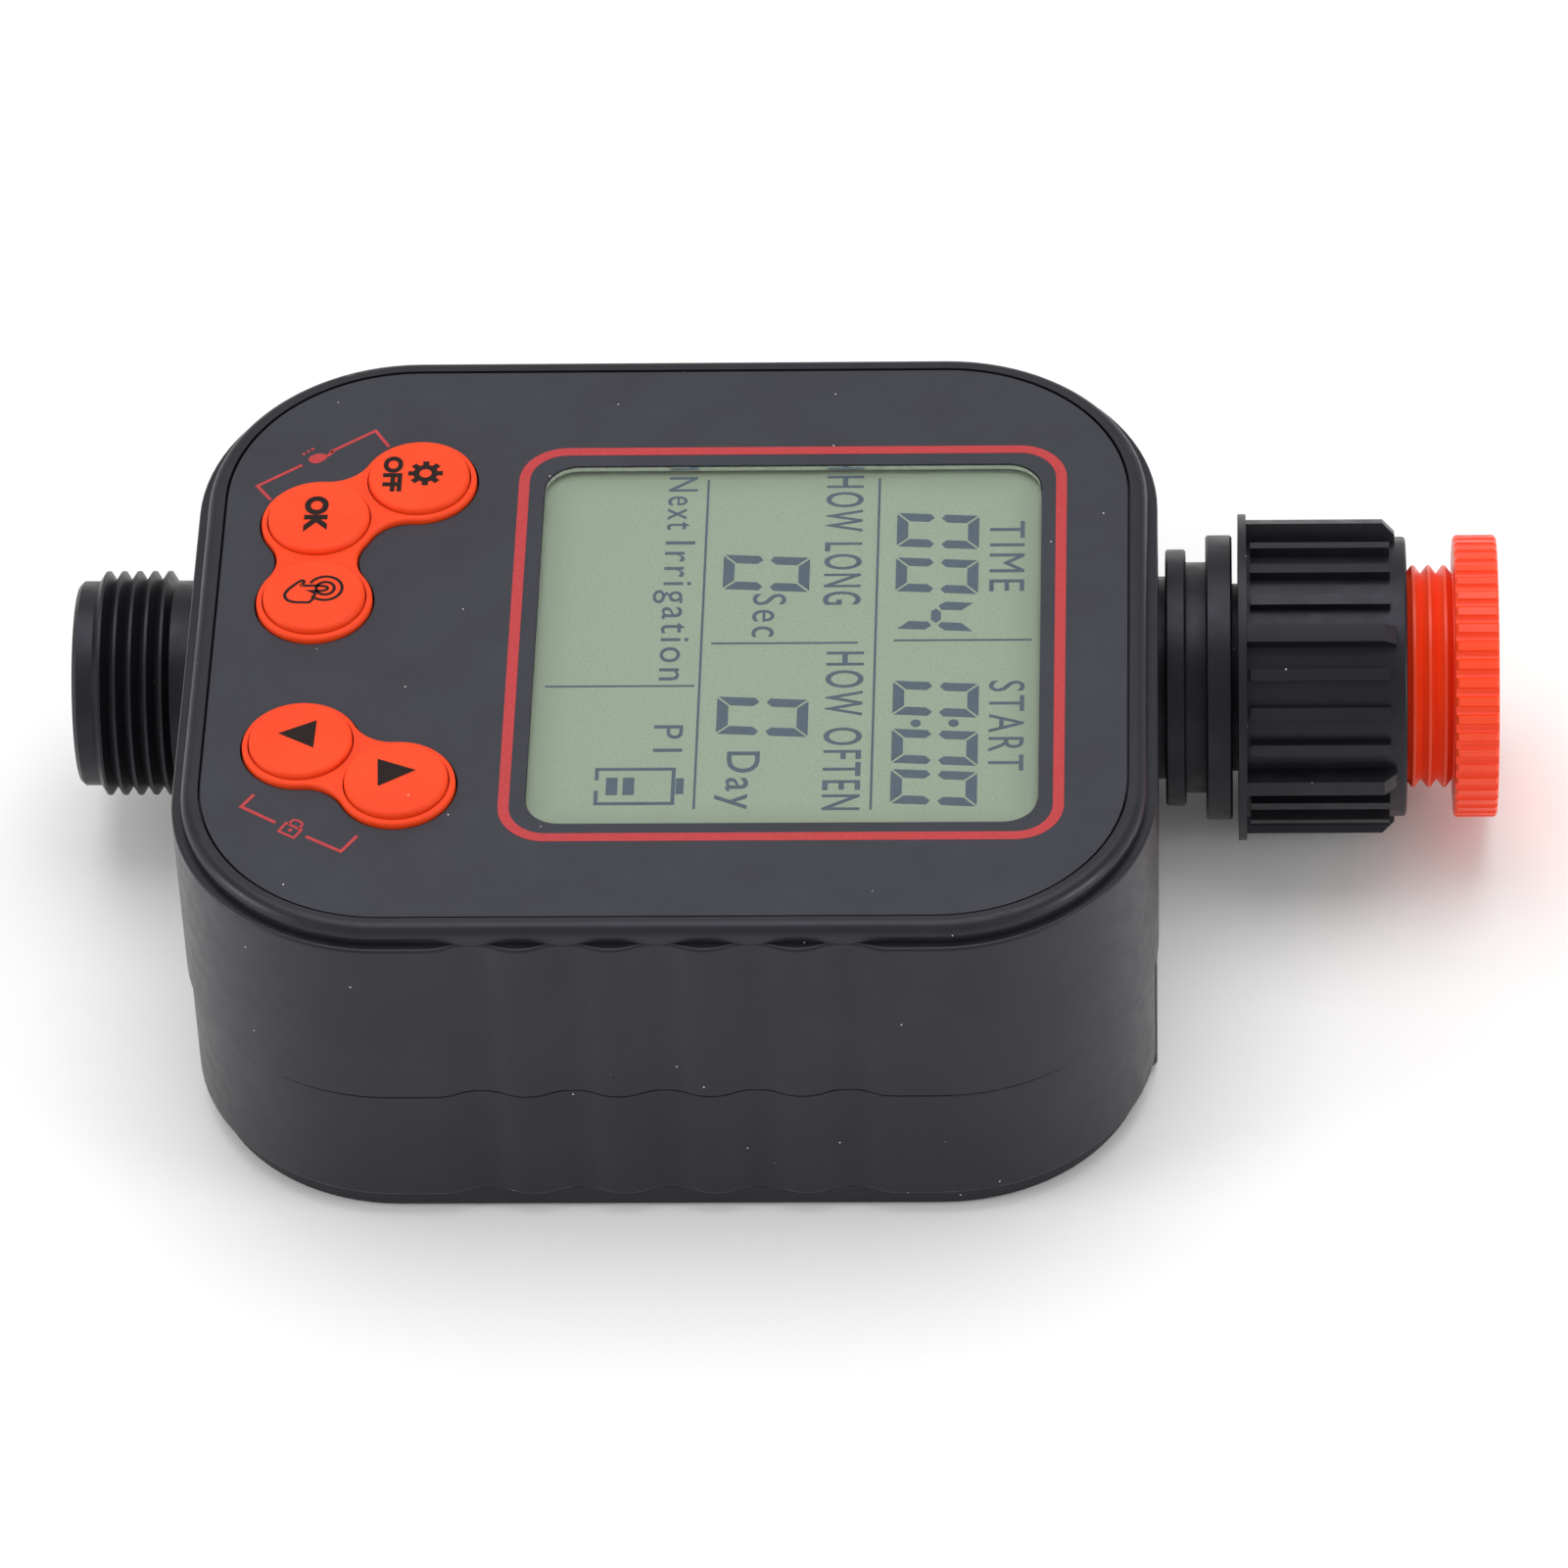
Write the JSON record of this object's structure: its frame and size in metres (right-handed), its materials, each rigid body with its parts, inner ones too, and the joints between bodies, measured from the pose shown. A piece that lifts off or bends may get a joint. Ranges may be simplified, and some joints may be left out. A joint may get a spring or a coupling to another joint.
{
  "type": "drip irrigation timer",
  "caption": "Battery irrigation timer with a display and rubber keys; a geared motor turns a ball valve between a threaded outlet and a swivel-nut inlet.",
  "frame": {"origin": "middle of the flat back face, which the timer rests on", "axes": "+Z leaves the face with the display, +X runs along the water pipe towards the inlet, +Y is the side the pipe is offset to"},
  "size_m": [0.1665, 0.0966, 0.047],
  "materials": {
    "housing": "satin moulded ABS",
    "face_print": "fine matt printed polycarbonate",
    "window": "clear polycarbonate",
    "lcd_glass": "grey-green display glass",
    "inner_plastic": "natural moulded plastic",
    "strip_rubber": "zebra silicone strip",
    "key_silicone": "moulded silicone rubber",
    "board": "solder-masked glass epoxy",
    "screw_steel": "zinc plated",
    "switch_plastic": "moulded black",
    "capacitor_can": "drawn can",
    "seal_rubber": "moulded nitrile rubber",
    "pipe_plastic": "moulded acetal",
    "ball_chrome": "polished",
    "stem_brass": "turned",
    "filter_mesh": "woven wire mesh",
    "nut_plastic": "moulded ABS",
    "adapter_plastic": "moulded ABS",
    "gear_plastic": "moulded acetal",
    "motor_can": "plated steel can",
    "gear_frame": "moulded glass-filled nylon",
    "battery_wrap": "printed shrink sleeve"
  },
  "bodies": {
    "housing": {"front_shell": "housing", "back_shell": "housing", "face_plate": "face_print", "display_window": "window", "lcd_panel": "lcd_glass", "lcd_holder": "inner_plastic", "contact_strips": "strip_rubber", "upper_keypad": "key_silicone", "lower_keypad": "key_silicone", "circuit_board": "board", "board_screws": "screw_steel", "tact_switches": "switch_plastic", "board_chips": "switch_plastic", "capacitors": "capacitor_can", "buzzer": "switch_plastic", "board_sockets": "inner_plastic", "shell_seal": "seal_rubber", "shell_screws": "screw_steel", "valve_body": "pipe_plastic", "ball_seats": "inner_plastic", "inlet_spigot": "pipe_plastic", "spigot_o_ring": "seal_rubber", "nut_retaining_ring": "screw_steel", "filter_screen": "filter_mesh", "nut_washer": "seal_rubber", "motor": "motor_can", "gearbox_plate": "gear_frame", "gearbox_cover": "gear_frame", "gear_pins": "screw_steel", "gearbox_pillars": "inner_plastic", "gearbox_screws": "screw_steel", "battery_sleeve": "inner_plastic", "battery_contacts": "screw_steel"},
    "valve_rotor": {"valve_ball": "ball_chrome", "valve_stem": "stem_brass", "stem_o_rings": "seal_rubber", "output_gear": "gear_plastic"},
    "second_gear": {"second_gear": "gear_plastic"},
    "first_gear": {"first_gear": "gear_plastic"},
    "motor_rotor": {"motor_pinion": "stem_brass", "motor_shaft": "screw_steel"},
    "drawer": {"battery_drawer": "housing", "battery_jumper": "screw_steel", "drawer_seal": "seal_rubber", "batteries": "battery_wrap"},
    "swivel_nut": {"swivel_nut": "nut_plastic"},
    "adapter_carrier": {"socket_washer": "seal_rubber"},
    "adapter": {"reducer_adapter": "adapter_plastic"},
    "key_off": {"key_off": "key_silicone"},
    "key_ok": {"key_ok": "key_silicone"},
    "key_manual": {"key_manual": "key_silicone"},
    "key_down": {"key_down": "key_silicone"},
    "key_up": {"key_up": "key_silicone"}
  },
  "joints": [
    {"name": "key_off_press", "type": "slide", "parent": "housing", "child": "key_off", "axis": [0, 0, -1], "range_m": [0, 0.0008], "stiffness_N_per_m": 500, "springref_m": -0.0008},
    {"name": "key_ok_press", "type": "slide", "parent": "housing", "child": "key_ok", "axis": [0, 0, -1], "range_m": [0, 0.0008], "stiffness_N_per_m": 500, "springref_m": -0.0008},
    {"name": "key_manual_press", "type": "slide", "parent": "housing", "child": "key_manual", "axis": [0, 0, -1], "range_m": [0, 0.0008], "stiffness_N_per_m": 500, "springref_m": -0.0008},
    {"name": "key_down_press", "type": "slide", "parent": "housing", "child": "key_down", "axis": [0, 0, -1], "range_m": [0, 0.0008], "stiffness_N_per_m": 500, "springref_m": -0.0008},
    {"name": "key_up_press", "type": "slide", "parent": "housing", "child": "key_up", "axis": [0, 0, -1], "range_m": [0, 0.0008], "stiffness_N_per_m": 500, "springref_m": -0.0008},
    {"name": "valve_turn", "type": "hinge", "parent": "housing", "child": "valve_rotor", "pos_m": [0, 0.01945, 0.0196], "axis": [0, 0, 1], "range_deg": [0, 90]},
    {"name": "second_gear_turn", "type": "hinge", "parent": "housing", "child": "second_gear", "pos_m": [-0.008, 0.00332, 0.032], "axis": [0, 0, 1], "continuous": true},
    {"name": "first_gear_turn", "type": "hinge", "parent": "housing", "child": "first_gear", "pos_m": [-0.016, -0.00562, 0.03], "axis": [0, 0, 1], "continuous": true},
    {"name": "motor_turn", "type": "hinge", "parent": "housing", "child": "motor_rotor", "pos_m": [-0.026, -0.01312, 0.029], "axis": [0, 0, 1], "continuous": true},
    {"name": "drawer_slide", "type": "slide", "parent": "housing", "child": "drawer", "axis": [1, 0, 0], "range_m": [0, 0.05]},
    {"name": "nut_turn", "type": "hinge", "parent": "housing", "child": "swivel_nut", "pos_m": [0.075, 0.01945, 0.0196], "axis": [1, 0, 0], "continuous": true},
    {"name": "adapter_lift", "type": "slide", "parent": "swivel_nut", "child": "adapter_carrier", "axis": [1, 0, 0], "range_m": [0, 0.0092]},
    {"name": "adapter_unscrew", "type": "hinge", "parent": "adapter_carrier", "child": "adapter", "pos_m": [0.08, 0.01945, 0.0196], "axis": [1, 0, 0], "range_deg": [0, 1800]}
  ],
  "couplings": [
    {"joint": "second_gear_turn", "follows": "valve_turn", "ratio": -5},
    {"joint": "first_gear_turn", "follows": "valve_turn", "ratio": 15},
    {"joint": "motor_turn", "follows": "valve_turn", "ratio": -60},
    {"joint": "adapter_lift", "follows": "adapter_unscrew", "m_per_rad": 0.00028871}
  ]
}
